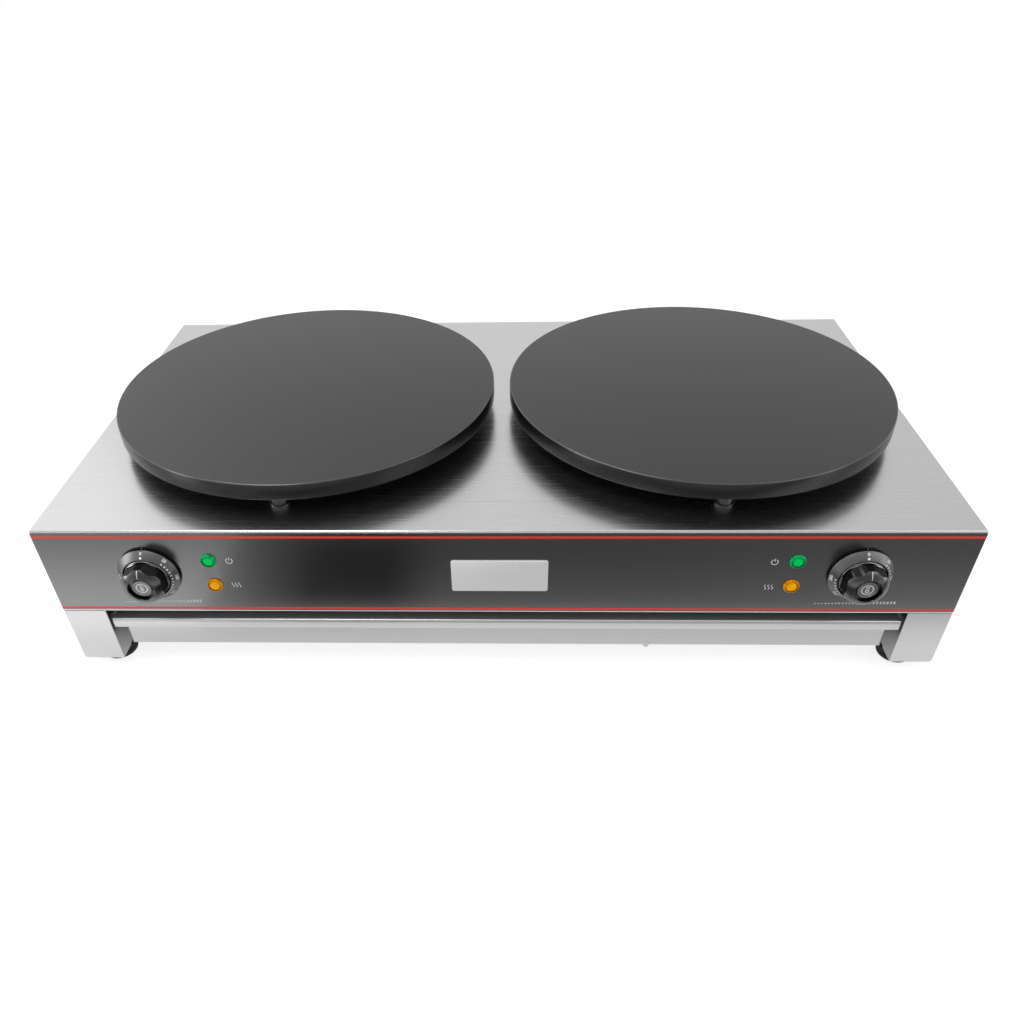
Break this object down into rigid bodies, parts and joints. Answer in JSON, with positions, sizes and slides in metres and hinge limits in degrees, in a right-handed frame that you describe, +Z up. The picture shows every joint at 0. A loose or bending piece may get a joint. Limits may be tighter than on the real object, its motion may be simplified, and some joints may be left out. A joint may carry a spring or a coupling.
{
  "type": "electric crepe maker",
  "caption": "Countertop electric crepe maker with side-by-side round griddles on a folded steel body, thermostat knobs, signal lamps and a wide drawer below.",
  "frame": {"origin": "on the table, under the middle of the whole object from the knobs' noses to the cable glands' ends", "axes": "+X to the right as seen from the front, +Y to the back, +Z up; the knobs face -Y"},
  "size_m": [0.87, 0.513, 0.2086],
  "materials": {
    "body_steel": "brushed stainless, lines along the width",
    "inner_steel": "plain galvanised sheet",
    "drawer_steel": "brushed stainless, lines along the width",
    "control_film": "satin black film with two red lines",
    "badge_steel": "fine brushed plate, blank",
    "foot_rubber": "matt black rubber",
    "post_steel": "turned steel",
    "griddle_iron": "black non-stick coat on cast iron",
    "element_tube": "heat-tinted steel tube",
    "insulation_felt": "pressed ceramic fibre",
    "cover_steel": "plain steel sheet",
    "brass": "bare brass and copper",
    "zinc_steel": "zinc-plated steel",
    "thermostat_case": "moulded case",
    "dial_metal": "satin dark-grey cone, black side, white numbers",
    "green_lens": "clear green plastic",
    "amber_lens": "clear amber plastic",
    "lamp_plastic": "nylon",
    "ceramic": "glazed steatite",
    "wire_sleeve": "glass-fibre sleeve",
    "gland_plastic": "black nylon",
    "knob_plastic": "satin black phenolic",
    "cap_metal": "satin grey disc"
  },
  "bodies": {
    "housing": {"top_panel": "body_steel", "front_panel": "body_steel", "rear_panel": "body_steel", "side_panel_left": "body_steel", "side_panel_right": "body_steel", "leg_front_left": "body_steel", "leg_front_right": "body_steel", "leg_rear_left": "body_steel", "leg_rear_right": "body_steel", "base_pan": "inner_steel", "base_screws": "zinc_steel", "front_label": "control_film", "badge_plate": "badge_steel", "drawer_rail_left": "inner_steel", "drawer_rail_right": "inner_steel", "foot_front_left": "foot_rubber", "foot_front_right": "foot_rubber", "foot_rear_left": "foot_rubber", "foot_rear_right": "foot_rubber", "foot_screws": "zinc_steel", "foot_nuts": "zinc_steel", "griddle_left": "griddle_iron", "griddle_right": "griddle_iron", "griddle_posts_left": "post_steel", "griddle_posts_right": "post_steel", "post_bolts": "zinc_steel", "conduit_left": "zinc_steel", "conduit_right": "zinc_steel", "heating_element_left": "element_tube", "heating_element_right": "element_tube", "insulation_discs": "insulation_felt", "element_cover_left": "cover_steel", "element_cover_right": "cover_steel", "capillaries": "brass", "thermostat_left": "thermostat_case", "thermostat_right": "thermostat_case", "thermostat_screws": "zinc_steel", "dial_ring_left": "dial_metal", "dial_ring_right": "dial_metal", "power_lens_left": "green_lens", "power_lens_right": "green_lens", "heat_lens_left": "amber_lens", "heat_lens_right": "amber_lens", "lamp_bodies": "lamp_plastic", "lamp_nuts": "zinc_steel", "terminal_blocks": "ceramic", "earth_studs": "brass", "wiring": "wire_sleeve", "cable_gland_left": "gland_plastic", "cable_gland_right": "gland_plastic", "gland_nuts": "gland_plastic"},
    "left_knob": {"thermostat_shaft_left": "zinc_steel", "knob_left": "knob_plastic", "knob_cap_left": "cap_metal"},
    "right_knob": {"thermostat_shaft_right": "zinc_steel", "knob_right": "knob_plastic", "knob_cap_right": "cap_metal"},
    "drawer": {"drawer_tray": "drawer_steel", "drawer_front": "drawer_steel", "tray_rivet": "zinc_steel"}
  },
  "joints": [
    {"name": "left_knob_turn", "type": "hinge", "parent": "housing", "child": "left_knob", "pos_m": [-0.33, -0.2505, 0.126], "axis": [0, 1, 0], "range_deg": [0, 270]},
    {"name": "right_knob_turn", "type": "hinge", "parent": "housing", "child": "right_knob", "pos_m": [0.33, -0.2505, 0.126], "axis": [0, 1, 0], "range_deg": [0, 270]},
    {"name": "drawer_slide", "type": "slide", "parent": "housing", "child": "drawer", "axis": [0, -1, 0], "range_m": [0, 0.3]}
  ]
}
